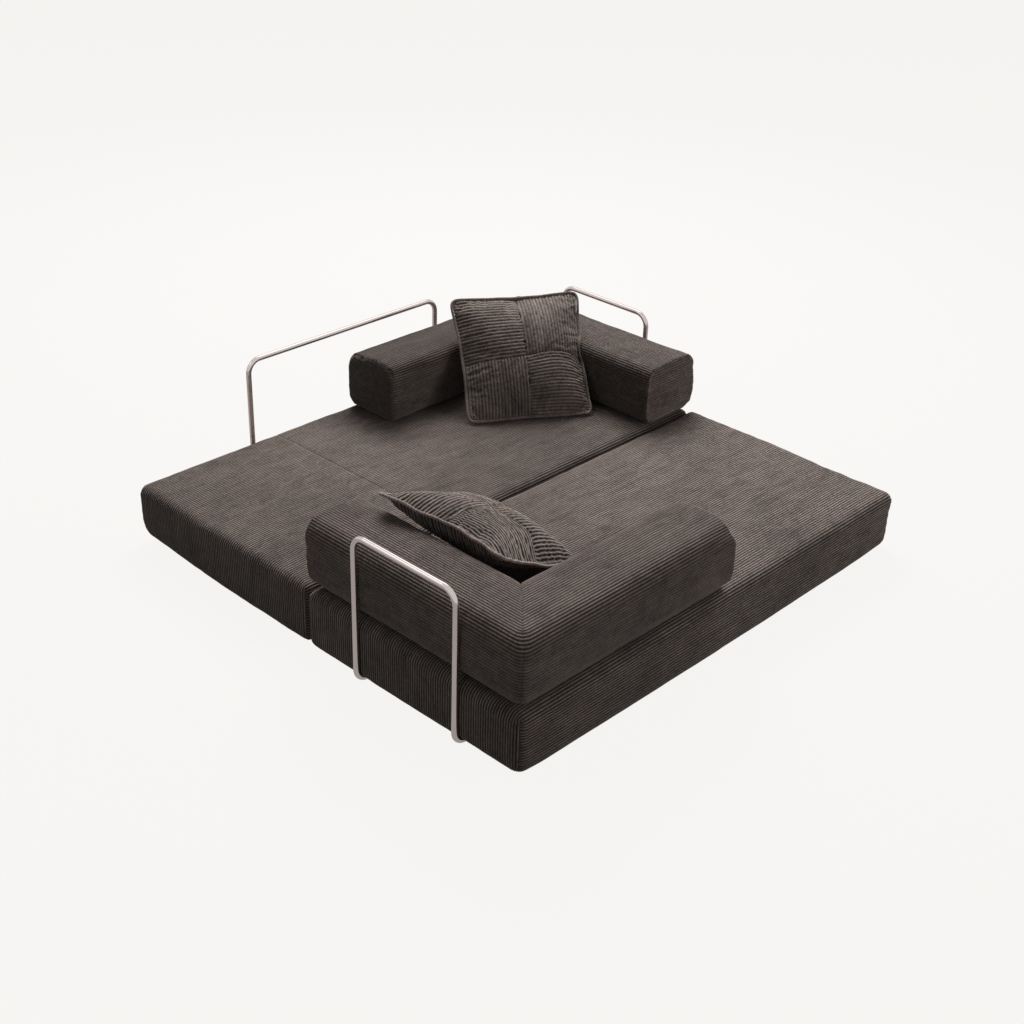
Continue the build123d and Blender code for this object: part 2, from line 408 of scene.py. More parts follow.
def woven(name, light, dark, threads=900.0):
    """Plain woven cloth, for the base cloth and the zip tapes."""
    n = Nodes(bpy.data.materials.new(name))
    place = n.place()
    inputs = {"Vector": place, "Scale": threads / THREADS_PER_SCALE}
    waves = [n.add("ShaderNodeTexWave", inputs, bands_direction=way) for way in ("X", "Y")]
    weave = n.math("MULTIPLY", *(wave.outputs["Fac"] for wave in waves))
    cloud = n.noise(place, 14.0, 3.0, 0.6)
    level = n.math("MULTIPLY", weave, 0.7)
    level = n.math("ADD", level, n.math("MULTIPLY", cloud, 0.5), clamp=True)
    return n.shader(
        Base_Color=n.mix(level, dark, light),
        Roughness=n.range(cloud, 0.3, 0.7, 0.75, 0.95),
        Specular_IOR_Level=0.25,
        Normal=n.bump(weave, 0.0004, 0.6),
    )


def polished_steel(name):
    """Bright plated tube, slightly warm, with a faint unevenness."""
    n = Nodes(bpy.data.materials.new(name))
    place = n.place()
    cloud = n.noise(place, 11.0, 3.0, 0.6)
    fine = n.noise(place, 420.0)
    rough = n.math("ADD", n.range(cloud, 0.3, 0.7, 0.1, 0.17), n.range(fine, 0.3, 0.7, -0.02, 0.03))
    return n.shader(
        Base_Color=n.mix(cloud, (0.74, 0.665, 0.645, 1), (0.84, 0.775, 0.755, 1)),
        Metallic=1.0,
        Roughness=rough,
        Normal=n.bump(fine, 0.00001, 0.2),
    )


def moulded(name, light, dark):
    """Moulded plastic with a fine spark-eroded texture."""
    n = Nodes(bpy.data.materials.new(name))
    place = n.place()
    grain = n.noise(place, 1800.0, 2.0, 0.6)
    cloud = n.noise(place, 40.0)
    return n.shader(
        Base_Color=n.mix(cloud, dark, light),
        Roughness=n.range(cloud, 0.3, 0.7, 0.45, 0.6),
        Normal=n.bump(grain, 0.0001, 0.5),
    )


# the dark colour of each corduroy is painted shade in the grooves between its wales
CORDUROY = corduroy("corduroy", (0.188, 0.163, 0.151, 1), (0.008, 0.007, 0.006, 1))
CORDUROY_BOLSTER = corduroy(
    "corduroy_bolster", (0.169, 0.145, 0.134, 1), (0.013, 0.011, 0.010, 1), sheen=0.25
)
CORDUROY_PILLOW = corduroy("corduroy_pillow", (0.166, 0.144, 0.133, 1), (0.009, 0.008, 0.007, 1))
PIPING = corduroy("piping_cloth", (0.150, 0.130, 0.121, 1), (0.035, 0.030, 0.028, 1))
BASE_CLOTH = woven("base_cloth", (0.035, 0.034, 0.033, 1), (0.012, 0.012, 0.012, 1))
TAPE = woven("zip_tape", (0.05, 0.046, 0.043, 1), (0.018, 0.016, 0.015, 1), threads=1400.0)
STEEL = polished_steel("rail_metal")
PLASTIC = moulded("plug_plastic", (0.035, 0.035, 0.036, 1), (0.018, 0.018, 0.019, 1))


def dress(node, material):
    """Gives a CAD node that stays its finished material."""
    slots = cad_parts[node].material_slots
    for slot in slots:
        slot.material = material
    if not slots:
        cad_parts[node].data.materials.append(material)


# ---------------------------------------------------------------- pads

# a rounded edge is shorter than the sharp one by this share of its radius on each face
ROUND_SAVES = 1 - math.pi / 4


def off_edge(arc, radius):
    """Distance from a sharp edge on the sharp box, for a distance round the rounded one."""
    bend = radius * math.pi / 4
    curved = radius * (1 - np.tan(math.pi / 4 - np.minimum(arc, bend) / radius))
    return np.where(arc < bend, curved, radius + arc - bend)


def face_arc(length, first, last):
    return length - (first + last) * ROUND_SAVES


def on_face(arc, length, first, last):
    total = face_arc(length, first, last)
    return np.where(arc < total / 2, off_edge(arc, first), length - off_edge(total - arc, last))


def rounded_pad(x, y, z, facing):
    """The rounded, crowned pad that a point of the sharp box falls on.

    Its upright corners are squarer on the side that faces the other pad.
    """
    radius = CORNER + (LOW_ROUND - CORNER) * (1 - smooth(z / 80.0))
    upright = np.where(z < SHOULDER / 2, LOW_ROUND, TOP_ROUND)
    cx = np.clip(x, radius, LENGTH - radius)
    cy = np.clip(y, radius, WIDTH - radius)
    cz = np.clip(z, LOW_ROUND, SHOULDER - TOP_ROUND)
    qx, qy, qz = (x - cx) / radius, (y - cy) / radius, (z - cz) / upright
    power = np.where((y > WIDTH / 2) == (facing > 0), 4.6, 2.0)
    flat = (np.abs(qx) ** power + np.abs(qy) ** power) ** (1 / power)
    size = np.maximum(np.hypot(flat, qz), 1e-9)
    px, py = cx + radius * qx / size, cy + radius * qy / size
    top = np.clip((z - (SHOULDER - TOP_ROUND)) / TOP_ROUND, 0, 1)
    hump_x = np.sin(math.pi / 2 * np.clip(np.minimum(px, LENGTH - px) / 200, 0, 1))
    hump_y = np.sin(math.pi / 2 * np.clip(np.minimum(py, WIDTH - py) / 230, 0, 1))
    return grid_of(px, py, cz + upright * qz / size + CROWN * hump_x * hump_y * top)


def outer_form(x, y, z, facing):
    """How far the cover stands out from its plain form.

    The front pad's long side bellies a little, its right end is full and its near
    corners are drawn in. The back pad's far left corner is drawn in low down.
    """
    if facing > 0:
        belly = bell(z - 65, 60) * smooth(z / 25) * np.clip(1 - y / 35, 0, 1)
        belly = belly * np.sin(math.pi * np.clip(x / LENGTH, 0, 1))
        full = ramp(x, 1880, 90) * ramp(z, 120, 80) * ramp(y, 300, 250)
        near = bell(x, 90) * bell(y, 420) * bell(z - 15, 45)
        right = bell(LENGTH - x, 110) * bell(y, 160) * smooth((215 - z) / 60)
        return 9.8 * belly + 5.5 * full - 5.0 * (near + right)
    return -16.0 * bell(x, 130) * bell(WIDTH - y, 300) * bell(z - 15, 48)


def cover_sink(points, facing, seed):
    """How far the cover lies inside its plain form: less on the sides than on top."""
    x, y, z = np.moveaxis(points, -1, 0)
    slack = ripples(x, y + 1.7 * z, 9, 160, 520, seed)
    slack = slack + 0.8 * ripples(x, y, 12, 45, 130, seed + 9)
    calm = 0.5 + 0.6 * ramp(z, 180, 50)
    return calm * np.maximum(1 + slack, 0) - outer_form(x, y, z, facing)


def corner_seam(edge, along):
    """The seam at an upright corner, and the puckers beside it."""
    puckers = 0.9 * np.cos(math.tau * along / 34.0) * np.exp(-edge / 24.0)
    return 2.4 * bell(edge, 4.5) + puckers


def cross_seam(x, y_arcs, seam_x):
    """The seam across the top, which wanders a little, and the puckers beside it."""
    gap = np.abs(x - seam_x - 1.2 * np.sin(y_arcs / 120.0))
    puckers = 0.9 * np.exp(-gap / 22.0) * (1 + np.cos(math.tau * y_arcs / 47.0)) / 2
    return 3.2 * bell(gap, 3.2) + puckers


def under_mitre(value, inset, length):
    """Draws an edge of the underside in, so that neighbours meet on the diagonal."""
    return length / 2 + (value - length / 2) * (length - 2 * inset) / length


def feet_lift(points, feet):
    """Raises the underside of a cover over the rails' feet."""
    x, y, z = np.moveaxis(points, -1, 0)
    for side, at in feet:
        off = np.abs((x if side == "far" else y) - at)
        reach = {"left": x, "right": LENGTH - x, "far": WIDTH - y}[side]
        near = (1 - ramp(off, 12.5, 13.0)) * (reach < 300)
        z = z + np.maximum(22.5 - z, 0) * near
    return grid_of(x, y, z)


# where the net's points lie, from an edge, the middle of a foot and a seam
EDGE_STATIONS = np.array([0, 7, 14, 21, 29, 40, 55, 75])
FOOT_STATIONS = np.array([-26, -19, -13, -7, 0, 7, 13, 19, 26])
SEAM_STATIONS = np.array([-14, -8, -4.5, -2, 0, 2, 4.5, 8, 14])
UNDER = 62.0
UNDER_STATIONS = np.array([UNDER, 48, 36, 26, 17, 9])


def pad_x_stations(feet, runs, seam_x):
    """Places along the pad, as distances round its cover: closer where more happens."""
    total = face_arc(LENGTH, CORNER, CORNER)
    marks = [EDGE_STATIONS, np.linspace(95, total - 95, runs), total - EDGE_STATIONS]
    marks += [at - CORNER * ROUND_SAVES + FOOT_STATIONS for side, at in feet if side == "far"]
    marks = np.unique(np.round(np.concatenate(marks), 1))
    keep = [marks[0]]
    for mark in marks[1:]:
        if mark - keep[-1] > 2.5 or mark == marks[-1]:
            keep.append(mark)
    keep = np.array(keep)
    if seam_x is None:
        return keep
    seam = seam_x - CORNER * ROUND_SAVES
    return np.sort(np.concatenate([keep[np.abs(keep - seam) > 16], seam + SEAM_STATIONS]))


def end_stations(total):
    """Places up an end of the pad."""
    low, high = 50, total - 36
    stations = [
        np.linspace(0, low, 9)[:-1],
        np.linspace(low, high, 8),
        np.linspace(high, total, 6)[1:],
    ]
    return np.concatenate(stations)


def pad_cover(body, shift, feet, facing, runs, seam_x, seed):
    cloth = Cloth()
    total_x, total_y = (face_arc(size, CORNER, CORNER) for size in (LENGTH, WIDTH))
    total_z = face_arc(SHOULDER, LOW_ROUND, TOP_ROUND)
    x_arcs = pad_x_stations(feet, runs, seam_x)
    x_net = on_face(x_arcs, LENGTH, CORNER, CORNER)
    end_arcs = end_stations(total_z)
    end_net = on_face(end_arcs, SHOULDER, LOW_ROUND, TOP_ROUND)
    under_net = off_edge(UNDER_STATIONS, LOW_ROUND)

    def finish(net, rise, across, along, seam):
        points = rounded_pad(*np.moveaxis(net, -1, 0), facing)
        out, way = normals_from([LENGTH / 2, WIDTH / 2, SHOULDER / 2], points)
        inner_side = facing * (net[..., 1] - WIDTH / 2) > 400
        by_zip = inner_side * (np.abs(points[..., 0] - LENGTH / 2) < 890)
        zip_groove = 2.2 * bell(points[..., 2] - ZIP_HEIGHT, 7.0) * by_zip
        sink = cover_sink(points, facing, seed) + PAD_GROOVE * (1 - rise) + zip_groove + seam
        moved = points - out * sink[..., None]
        moved[..., 2] = np.maximum(moved[..., 2], 0.2)
        # painted shade on the back pad: a little at its left end, and more from its cross seam
        # towards its right end
        tone = 1.0
        if facing < 0:
            tone = 0.9 + 0.1 * ramp(net[..., 0], 250, 200) - 0.3 * ramp(net[..., 0], 600, 450)
        moved = feet_lift(moved, feet) + shift
        cloth.add(moved, rise, across / 1000, along / 1000, way, tone)

    # top panel, which goes on down over both ends and a little way under
    count = round(total_y / WALE_PAD)
    at = wale_stations(count)
    y_arcs = at / count * total_y
    y_net = on_face(y_arcs, WIDTH, CORNER, CORNER)
    top_net, top_arcs = x_net[1:-1], x_arcs[1:-1]
    under, end, top = 0 * under_net, 0 * end_net, 0 * top_net
    x_parts = [under_net, end, top_net, end + LENGTH, LENGTH - under_net[::-1]]
    z_parts = [under, end_net, top + SHOULDER, end_net[::-1], under]
    in_parts = [under_net, end, top, end, under_net[::-1]]
    far_end = total_z + total_x
    arc_parts = [-UNDER_STATIONS, end_arcs, total_z + top_arcs, far_end + end_arcs]
    arc_parts.append(far_end + total_z + UNDER_STATIONS[::-1])
    x, z, inset, arc = (
        np.concatenate(parts)[:, None] for parts in (x_parts, z_parts, in_parts, arc_parts)
    )
    net = grid_of(x, under_mitre(y_net, inset, WIDTH), z)
    upright = ((x < 1) | (x > LENGTH - 1)) & (z < SHOULDER - 2)
    seam = corner_seam(np.minimum(y_arcs, total_y - y_arcs), arc) * upright
    if seam_x is not None:
        seam = seam + (z >= SHOULDER - 0.1) * cross_seam(x, y_arcs, seam_x)
    finish(net, ridge(at), y_arcs, arc, seam)

    # the two long sides, with wales along them
    total_side = total_z + UNDER
    count = round(total_side / WALE_PAD)
    at = wale_stations(count)
    down = at / count * total_side
    side_z = on_face(np.maximum(total_z - down, 0), SHOULDER, LOW_ROUND, TOP_ROUND)
    side_in = np.where(down > total_z, off_edge(np.maximum(down - total_z, 0), LOW_ROUND), 0.0)
    edge = np.minimum(x_arcs, total_x - x_arcs)[:, None]
    seam = corner_seam(edge, down) * ((down > 4) & (down < total_z))
    for side_y in (side_in, WIDTH - side_in):
        net = grid_of(under_mitre(x_net[:, None], side_in, LENGTH), side_y, side_z)
        finish(net, ridge(at), down, x_arcs[:, None], seam)

    made = cloth.make(body + "_cushion", CORDUROY)
    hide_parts(body + "_cover", body + "_core", body + "_topper")
    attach(made, body)


def foot_pair(side, middle, span):
    return [(side, middle - span / 2), (side, middle + span / 2)]


front_feet = foot_pair("left", WIDTH / 2, SHORT_SPAN)
back_feet = foot_pair("right", WIDTH / 2 + SIDE_RAIL_OFFSET, SHORT_SPAN)
back_feet += foot_pair("far", CENTRE_X + LONG_RAIL_OFFSET, LONG_SPAN)
back_place = np.array([0.0, WIDTH + GAP, 0.0])
pad_cover("front_pad", np.zeros(3), front_feet, facing=1, runs=74, seam_x=None, seed=3)
pad_cover("back_pad", back_place, back_feet, facing=-1, runs=62, seam_x=625.0, seed=21)
dress("front_pad_base", BASE_CLOTH)
dress("back_pad_base", BASE_CLOTH)

# ---------------------------------------------------------------- bolsters

# The form of a bolster: the radii of its section's edges, how far the long arm's end
# stands proud, how much the short arm's end leans out with the height, how far the long
# arm's outer top has slumped and the corner has fallen, how far the long end's top edges
# are eased, whether the short end is stuffed full, and the painted shade on each panel (on
# an arm: top and sides), which darkens it for how its pile lies to the light, and the back
# bolster also for the less light it gets.
Form = namedtuple(
    "Form", "low inner_top outer_top proud lean slump fall ease_inner ease_outer full lay"
)
FRONT_FORM = Form(
    low=60.0,
    inner_top=60.0,
    outer_top=62.0,
    proud=9.5,
    lean=0.05,
    slump=0.0,
    fall=0.0,
    ease_inner=0.0,
    ease_outer=13.0,
    full=0,
    lay={"long": (0.93, 0.70), "short": (0.90, 0.70), "long_end": 0.72, "short_end": 0.75},
)
BACK_FORM = Form(
    low=44.0,
    inner_top=40.0,
    outer_top=52.0,
    proud=6.0,
    lean=0.0,
    slump=11.0,
    fall=13.0,
    ease_inner=11.0,
    ease_outer=0.0,
    full=1,
    lay={"long": (0.42, 0.66), "short": (0.66, 0.51), "long_end": 0.42, "short_end": 0.93},
)
SIDE_BULGE, TOP_CROWN = 4.0, 7.0
# how far in and back each turn of an arm's edge lies behind the end panel
TURNED_IN = ((3.0, 1.0), (11.0, 2.5))
# places along an arm from its mitre to its end, as shares of its length
ARM_SHARES = np.concatenate([
    [0, 0.003, 0.006, 0.010, 0.016, 0.024, 0.034, 0.048, 0.066],
    np.linspace(0.09, 0.945, 36),
    [0.96, 0.97, 0.977, 0.983, 0.988, 0.992, 0.9945, 0.9965, 0.998, 0.9992, 1.0],
])


def half_section(low, top):
    """One half of the section, from the middle of the underside to the middle of the top."""
    side, shoulder = B_WIDTH / 2 - SIDE_BULGE, B_HEIGHT - TOP_CROWN
    turn = np.linspace(0, math.pi / 2, 40)[:-1]
    line = np.concatenate([
        grid_of(np.linspace(0, side - low, 12)[:-1], 0.0),
        grid_of(side - low + low * np.sin(turn), low - low * np.cos(turn)),
        grid_of(side, np.linspace(low, shoulder - top, 50)[:-1]),
        grid_of(side - top + top * np.cos(turn), shoulder - top + top * np.sin(turn)),
        grid_of(np.linspace(side - top, 0, 14), shoulder),
    ])
    w, h = line.T
    bulge = SIDE_BULGE * np.sin(math.pi * np.clip((h - 10) / (shoulder - 40), 0, 1))
    crown = TOP_CROWN * (1 - np.clip(np.abs(w) / 132.0, 0, 1) ** 2) ** 1.5
    return grid_of(w + bulge * (w > side - 25), h + crown * ramp(h, shoulder - 60, 60))


def wale_section(form):
    """The closed section of an arm at the stations of its wales, and their real pitch.

    It goes from the middle of the underside round to it again. Each value is a
    column: across (+ is the outer side), height, distance round, rise of the wale,
    and the two parts of the way inward.
    """
    outer = half_section(form.low, form.outer_top)
    inner = half_section(form.low, form.inner_top)[::-1][1:] * [-1.0, 1.0]
    line = np.concatenate([outer, inner])
    distance = run_along(line)
    count = round(distance[-1] / WALE_BOLSTER)
    at = wale_stations(count)
    round_at = at / count * distance[-1]
    line = read_line(round_at, distance, line)
    tangent = np.gradient(np.concatenate([line[-2:-1], line, line[1:2]]), axis=0)[1:-1]
    tangent /= np.linalg.norm(tangent, axis=1, keepdims=True)
    values = (*line.T, round_at, ridge(at), -tangent[:, 1], tangent[:, 0])
    return [value[:, None] for value in values], distance[-1] / count


def arm_end(arm, height, form):
    """Where an arm ends at a height: a long arm's stuffed end stands proud, and a short
    arm can lean out, as far as the fold allows."""
    if arm == "long":
        return B_LONG - 1.0 + form.proud
    return B_SHORT - 2.0 + form.lean * height


def soft_edge(height, arm):
    """The end's edge: soft, but crisp over the top of the short arm."""
    if arm == "short":
        return 17.0 - 10.0 * ramp(height, 150, 80)
    return 26.0 - 4.0 * ramp(height, 175, 45)


def panel_seam(edge):
    """How far the end panel's seam lies inside an arm's contour, and how far behind its end."""
    trim = edge * 0.3 + 1.6
    return trim, edge - np.sqrt(edge**2 - (edge - trim) ** 2)


def arm_grid(arm, along, across, height):
    """Points of one arm of the L, from the place along it and across it."""
    first, second = (along, across) if arm == "long" else (across, along)
    return grid_of(first, second, height + DECK)


def arm_sink(arm, section, mitre, d, left, form, seed):
    """How far an arm's cover lies inside its plain form, at distances from its mitre and
    its end."""
    w, h, round_at = section[:3]
    slack = ripples(d * 0.8, round_at, 8, 150, 420, seed + (arm == "long"))
    slack = slack + 0.7 * ripples(d, round_at, 9, 45, 120, seed + 5)
    sink = 0.9 * np.maximum(1 + slack, 0) * (h > 2)
    upper = ramp(h, 165, 60) * ramp(w, -30, 90)
    sink = sink + form.fall * upper * bell(d, 150)
    if arm == "long":
        sink = sink + form.slump * upper * smooth(d / 260)
        eased = form.ease_inner * ramp(-w, 50, 70) + form.ease_outer * ramp(w, 50, 70)
        sink = sink + eased * ramp(h, 170, 50) * np.exp(-left / 80)
        zip_middle, zip_reach = sum(UNDER_ZIP) / 2, (UNDER_ZIP[1] - UNDER_ZIP[0]) / 2 + 8.5
        by_zip = (h < 5) & (np.abs(mitre + d - zip_middle) < zip_reach)
        sink = sink + 2.9 * np.exp(-((w / 5.5) ** 4)) * by_zip
    else:
        swell = 13.0 * bell(h - 95, 85) * smooth(h / 30) * ramp(w, 60, 60) + 3.5 * upper
        sink = sink - form.full * swell * (1 - smooth(left / 230))
    mitre_seam = 1.6 * bell(d, 3.6) * smooth(h / 30)
    gather = np.cos(math.tau * round_at / 43.0) + 0.6 * np.cos(math.tau * round_at / 27.0)
    return sink + mitre_seam + np.exp(-left / 24.0) * (1.6 + gather) / 2


def bolster_arm(cloth, arm, body, place, form, section, pitch, seed):
    w, h, round_at, rise, in_w, in_h = section
    k = 0 if arm == "long" else 1
    half = B_WIDTH / 2
    mitre = half - w
    edge = soft_edge(h, arm)
    length = arm_end(arm, h, form) - mitre
    d = ARM_SHARES * (length - panel_seam(edge)[1])
    left = length - d
    close = np.clip(1 - left / edge, 0, 1)
    inset = edge * (1 - np.sqrt(np.maximum(1 - close**2, 0)))
    # on the outer side the cover turns the corner of the L in an arc
    e = half - (w + in_w * inset)
    corner = 38.0 * ramp(w, 40, 80)
    bend = np.clip(d / np.maximum(corner, 1e-6), 0, 1)
    angle = math.radians(225) + math.radians(45) * bend
    inside = (d < corner) & (corner > 0.5)
    along = np.where(inside, mitre + corner + corner * np.cos(angle), mitre + d)
    across = np.where(inside, e + corner + corner * np.sin(angle), e)
    grid = arm_grid(arm, along, across, h + in_h * inset)
    axis = np.where(np.arange(3) == k, grid, [half, half, HEIGHT + B_HEIGHT / 2])
    out, way = normals_from(axis, grid, wrap=True)
    over = ramp(h, 185, 45)
    sink = arm_sink(arm, section, mitre, d, left, form, seed) + (1.1 + 0.8 * over) * (1 - rise)
    grid = grid - out * sink[..., None]
    # the edge is turned in under the end panel
    rim = grid[:, -1]
    end_cushion(body, arm, place, form, pitch, seed, rim)
    rings, runs = [grid], [d]
    for step_in, step_back in TURNED_IN:
        ring = rim.copy()
        ring[:, 1 - k] += (half - rim[:, 1 - k]) * step_in / 130.0
        ring[:, 2] += (DECK + B_HEIGHT / 2 - rim[:, 2]) * step_in / 120.0
        ring[:, k] -= step_back
        rings.append(ring[:, None])
        runs.append(d[:, -1:] + step_in)
    # painted shade: the grooves' painted shade is lighter on the sides, where the pile closes them,
    # and each panel is darkened by its painted shade
    full_rise = 1 - (1 - rise) * (0.5 + 0.5 * over)
    top_painted_shade, side_painted_shade = form.lay[arm]
    tone = side_painted_shade * (1 - over) + top_painted_shade * over
    grid, run = (np.concatenate(parts, 1) for parts in (rings, runs))
    cloth.add(place(grid), full_rise, round_at / 1000, run / 1000, way, tone)


def bolster(body, place, seed, form):
    cloth = Cloth()
    section, pitch = wale_section(form)
    for arm in ("long", "short"):
        bolster_arm(cloth, arm, body, place, form, section, pitch, seed)
    made = cloth.make(body + "_cushion", CORDUROY_BOLSTER)
    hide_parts(body + "_cover", body + "_core")
    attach(made, body)


def end_cushion(body, arm, place, form, pitch, seed, rim):
    """The panel that closes an arm from its rim; its wales carry on from the arm's sides."""
    k = 0 if arm == "long" else 1
    half = B_WIDTH / 2
    # the rim as across, height and reach, read closely
    rim = np.stack([half - rim[:, 1 - k], rim[:, 2] - DECK, rim[:, k]], -1)
    rim = read_line(np.linspace(0, len(rim) - 1, 2400), np.arange(len(rim)), rim)
    apex = rim[:, 1].argmax()

    def rim_at(side):
        order = np.maximum.accumulate(side[:, 1]) + np.arange(len(side)) * 1e-6
        return np.interp(h, order, side[:, 0])[:, None]

    line = half_section(form.low, form.outer_top)
    side = int(np.argmin(np.abs(line[:, 1] - B_HEIGHT / 2)))
    phase = run_along(line[: side + 1])[-1] / pitch
    middle = line[side, 1]
    heights = rim[:, 1].min() + 0.3, rim[apex, 1] - 0.3
    low, high = ((height - middle) / pitch + phase for height in heights)
    rows = np.arange(math.ceil(low * WALE_POINTS), math.floor(high * WALE_POINTS) + 1)
    rows = np.concatenate([[low], rows / WALE_POINTS, [high]])
    h = middle + (rows - phase) * pitch
    w_out, w_in = rim_at(rim[: apex + 1]), rim_at(rim[apex:][::-1])
    across = np.linspace(-1, 1, 41)
    across = 0.55 * np.sin(across * math.pi / 2) + 0.45 * across
    ww = w_in + (w_out - w_in) * (across + 1) / 2
    hh = np.broadcast_to(h[:, None], ww.shape)
    rim_gap, rim_out = np.zeros(ww.shape), np.zeros(ww.shape)
    for row, level in enumerate(h):
        off = np.hypot(ww[row][:, None] - rim[:, 0], level - rim[:, 1])
        rim_gap[row], rim_out[row] = off.min(1), rim[off.argmin(1), 2]
    inside = smooth(rim_gap / 5.0)
    groove = (1 - ridge(rows)[:, None]) * smooth(rim_gap / 14.0)
    puckers = np.exp(-rim_gap / 22.0) * np.cos(math.tau * ww / 47.0 + seed)
    bulge = 6.0 * smooth(rim_gap / 105.0) * (1 + 0.2 * ripples(ww, hh, 6, 60, 190, seed + 31))
    bulge = bulge + ramp(hh, 120, 90) * inside * puckers - 1.1 * groove
    if arm == "short":
        bulge = bulge - 1.6 * ramp(hh, 215, 20) * inside
    # the panel goes on from its rim round the arm's rounded edge
    edge = soft_edge(hh, arm)
    trim, behind = panel_seam(edge)
    short = np.clip(edge - trim - rim_gap, 0, edge)
    end = arm_end(arm, hh, form)
    reach = end + bulge - edge + np.sqrt(edge**2 - short**2)
    reach = reach + (rim_out - end + behind) * np.exp(-rim_gap / 12.0)
    grid = arm_grid(arm, reach - 0.5 * np.exp(-rim_gap / 4.0), half - ww, hh)
    way = 1 if np.sum(normals(grid)[..., k]) > 0 else -1
    cloth = Cloth()
    # painted shade: the end panel is darkened as a whole, and its grooves get half the painted
    # groove shade
    lay = form.lay[arm + "_end"]
    cloth.add(place(grid), 1 - 0.5 * groove, hh / 1000, ww / 1000, way, lay)
    made = cloth.make(f"{body}_cushion_{arm}_end", CORDUROY_BOLSTER)
    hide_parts(f"{body}_{arm}_end_panel")
    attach(made, body)


bolster("front_bolster", same, 40, FRONT_FORM)
bolster("back_bolster", half_turn, 60, BACK_FORM)

# ---------------------------------------------------------------- pillows

PILLOW_HALF, PILLOW_THICK = 248.0, 86.0
CAGE = 61
U, V = np.meshgrid(np.linspace(-1, 1, CAGE), np.linspace(-1, 1, CAGE), indexing="ij")


def pillow_flat(corner, drawn):
    """The flat square: its corners are rounded and its edges drawn in."""
    r = corner / PILLOW_HALF
    cx, cy = np.clip(U, -1 + r, 1 - r), np.clip(V, -1 + r, 1 - r)
    qx, qy = U - cx, V - cy
    length = np.hypot(qx, qy)
    reach = np.maximum(np.abs(qx), np.abs(qy))
    scale = np.where(length > 1e-9, reach / np.maximum(length, 1e-9), 1)
    x, y = (cx + qx * scale) * PILLOW_HALF, (cy + qy * scale) * PILLOW_HALF
    x = x - drawn * np.sign(U) * np.abs(U) ** 3 * (1 - V**2)
    y = y - drawn * np.sign(V) * np.abs(V) ** 3 * (1 - U**2)
    return x, y


def pillow_dome(power):
    return (np.clip(1 - U**2, 0, 1) * np.clip(1 - V**2, 0, 1)) ** power


def swollen_pillow(seed):
    """Two square panels sewn edge to edge and blown up by cloth simulation.

    The sewn edge is held, and the panels are cut a little larger than the
    square it makes, so that they gather along it.
    """
    x, y = pillow_flat(32.0, 11.0)
    rim = 2.4 * ripples(x, y, 7, 80, 210, seed) * np.maximum(np.abs(U), np.abs(V)) ** 6
    rng = np.random.default_rng(seed)
    dome = pillow_dome(0.5)
    wobble = rng.normal(0, 0.6, U.shape)
    face = np.stack([x, y, rim + 34 * dome + wobble * dome], -1)
    back = np.stack([x, y, rim - 34 * dome + wobble[::-1] * dome], -1)
    edge = (np.abs(U) > 0.9999) | (np.abs(V) > 0.9999)
    number = np.arange(CAGE * CAGE).reshape(CAGE, CAGE)
    back_number = number.copy()
    back_number[~edge] = CAGE * CAGE + np.arange((~edge).sum())
    points = np.concatenate([face.reshape(-1, 3), back[~edge]]) / 1000.0
    quads = np.concatenate([quads_of(number), quads_of(back_number)[:, ::-1]])
    moved = simulate(points, quads, number[edge]) * 1000.0
    face, back = moved[number], moved[back_number]
    thick = (face[..., 2].max() - back[..., 2].min()) / 2
    scale = np.array([1.0, 1.0, PILLOW_THICK / thick])
    return face * scale, back * scale


SWELL_FRAMES, SWELL_PRESSURE, SWELL_LARGER = 24, 4.0, 0.016
CLOTH_TENSION, CLOTH_BENDING, CLOTH_MASS = 25.0, 0.25, 0.25


def simulate(points, quads, held):
    """Blows up a closed cloth whose held points stay, and gives the points back."""
    mesh = bpy.data.meshes.new("sim")
    mesh.from_pydata([tuple(p) for p in points], [], [tuple(int(i) for i in q) for q in quads])
    mesh.update()
    ob = add_object("sim", mesh)
    group = ob.vertex_groups.new(name="held")
    group.add([int(i) for i in held], 1.0, "REPLACE")
    cloth = ob.modifiers.new("swell", "CLOTH")
    s = cloth.settings
    s.vertex_group_mass = "held"
    s.shrink_min = -SWELL_LARGER
    s.quality = 6
    s.mass = CLOTH_MASS
    s.tension_stiffness = CLOTH_TENSION
    s.compression_stiffness = CLOTH_TENSION
    s.shear_stiffness = CLOTH_TENSION * 0.5
    s.bending_stiffness = CLOTH_BENDING
    s.use_pressure = True
    s.uniform_pressure_force = SWELL_PRESSURE
    s.effector_weights.gravity = 0.0
    cloth.collision_settings.use_collision = False
    cloth.point_cache.frame_start = 1
    cloth.point_cache.frame_end = SWELL_FRAMES
    for step in range(1, SWELL_FRAMES + 1):
        bpy.context.scene.frame_set(step)
    evaluated = ob.evaluated_get(bpy.context.evaluated_depsgraph_get())
    co = np.zeros(len(points) * 3, np.float32)
    evaluated.data.vertices.foreach_get("co", co)
    bpy.data.objects.remove(ob)
    bpy.data.meshes.remove(mesh)
    bpy.context.scene.frame_set(1)
    return co.reshape(-1, 3).astype(float)


def pillow_frame(centre, turn, lift, roll):
    """From a pillow's own frame to its place on the bed, and back."""
    turn, lift, roll = map(math.radians, (turn, lift, roll))
    level = math.cos(lift)
    z = np.array([level * math.cos(turn), level * math.sin(turn), math.sin(lift)])
    x = np.array([-math.sin(turn), math.cos(turn), 0.0])
    y = np.cross(z, x)
    rolled_x = math.cos(roll) * x + math.sin(roll) * y
    rolled_y = -math.sin(roll) * x + math.cos(roll) * y
    axes = np.stack([rolled_x, rolled_y, z])
    centre = np.array(centre)
    return lambda points: points @ axes + centre, lambda points: (points - centre) @ axes.T


